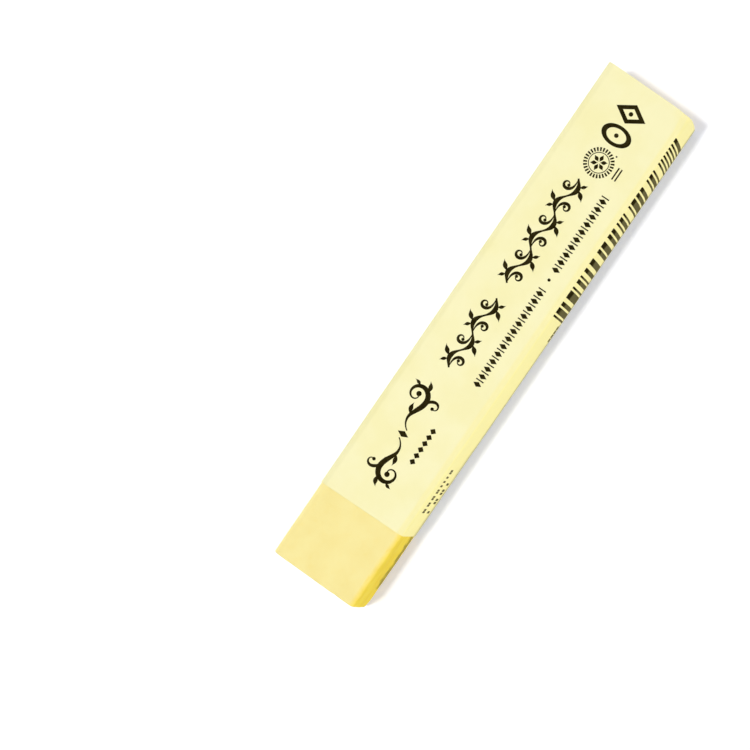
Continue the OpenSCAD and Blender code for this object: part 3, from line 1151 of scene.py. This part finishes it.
bead = lozenge((0, 0), half_width=0.30, half_height=0.52) + band((0.43, -0.48), (0.57, 0.48))
bead_step = Vector((1.0, 0, 0))
stamp("print_beads_short", bead, ON_TOP, (18.6, BEAD_LINE), step=bead_step, count=13)
stamp("print_bead_dot", disc((0, 0), radius=0.18), ON_TOP, (32.4, BEAD_LINE))
stamp("print_beads_long", bead, ON_TOP, (33.7, BEAD_LINE), step=bead_step, count=10)

# %% [markdown]
# The seal is a ring with rays outside it and petals inside. A ray and a petal are drawn once, at
# the right of the middle, and the printing tree turns each copy of them a little further. Beyond
# the seal stand an oval and a diamond, each with a dot in its middle.

# %% Seal and plain marks
SEAL_PLACE = (46.0, 0.0)
SEAL_RAYS = 28
PETALS = 6
RAY_FROM = 1.28
RAY_TO = 1.72

ray = [[(RAY_FROM, -0.08), (RAY_TO, -0.11), (RAY_TO, 0.11), (RAY_FROM, 0.08)]]
mark_dot = disc((0, 0), radius=0.25)
oval = narrowed(ring(radius=1.5, width=0.6), share=0.65)
diamond = lozenge_ring(half_width=1.2, half_height=1.9, line=0.45)
stamp("print_seal_rays", ray, ON_TOP, SEAL_PLACE, count=SEAL_RAYS, turn=2 * math.pi / SEAL_RAYS)
stamp("print_seal_ring", ring(radius=1.14, width=0.09), ON_TOP, SEAL_PLACE)
stamp("print_seal_petals", leaf((0.12, 0), heading=0, length=0.85, width=0.44), ON_TOP, SEAL_PLACE,
      count=PETALS, turn=2 * math.pi / PETALS)
stamp("print_seal_lines", band((-0.75, -0.08), (0.75, 0.08)), ON_TOP, (46.0, -2.2),
      step=Vector((0, -0.38, 0)), count=2)
stamp("print_seal_dot", disc((0, 0), radius=0.1), ON_TOP, (47.6, -1.25))
stamp("print_oval_mark", oval + mark_dot, ON_TOP, (49.5, 0.1))
stamp("print_lozenge_mark", diamond + mark_dot, ON_TOP, (52.3, 0.1))

# %% [markdown]
# ## The print on the long side
# A code of bars starts on the fold and runs down the side, and two short rows of small print
# stand further left. The bars are modules of one width, kept or left out by a seeded chance, so
# they look like a code and say nothing. Each module is cut into rows, which are short where they
# bend over the fold.

# %% Code bars and small print
BAR_MODULE = 0.2475
BAR_COUNT = 95
BAR_FOOT = 1.6
BAR_BEND = 9.9
BAR_HEAD = 10.45
FLAT_ROWS = 8
BENT_ROWS = 5
SMALL_PRINT_FROM = 3.4
SMALL_PRINT_HEIGHT = 1.6

module = band((0, 0), (BAR_MODULE, BAR_BEND - BAR_FOOT), rows=FLAT_ROWS)
module += band((0, BAR_BEND - BAR_FOOT), (BAR_MODULE, BAR_HEAD - BAR_FOOT), rows=BENT_ROWS)
stamp("print_code_bars", module, ON_NEAR_SIDE, (29.4, BAR_FOOT), step=Vector((BAR_MODULE, 0, 0)),
      count=BAR_COUNT, keep=0.52, seed=51)
stamp("print_small_upper", band((0, 0), (0.25, SMALL_PRINT_HEIGHT)), ON_NEAR_SIDE,
      (SMALL_PRINT_FROM, 6.5), step=Vector((0.29, 0, 0)), count=20, keep=0.75, seed=137)
stamp("print_small_lower", band((0, 0), (0.3, SMALL_PRINT_HEIGHT)), ON_NEAR_SIDE,
      (SMALL_PRINT_FROM, 2.9), step=Vector((0.42, 0, 0)), count=10, keep=0.6, seed=5)
stamp("print_small_foot", band((0, 0), (0.45, 1.4)), ON_NEAR_SIDE, (26.8, 1.7),
      step=Vector((0.55, 0, 0)), count=4)

# %% [markdown]
# ## Attaching the pieces
# The bar and the sleeve stand for the two CAD parts, and the ink lies on the sleeve. Nothing in
# this object moves, so every piece rides on its one body.

# %% Attach the pieces
PIECES = [(bar, "pastel", "pastel_stick"), (sleeve, "sleeve_paper", "paper_sleeve")]
for piece, slot, node in PIECES:
    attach(piece, "root")
    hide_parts(node)
for piece in printed:
    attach(piece, "root")
print(len(PIECES) + len(printed), "pieces")
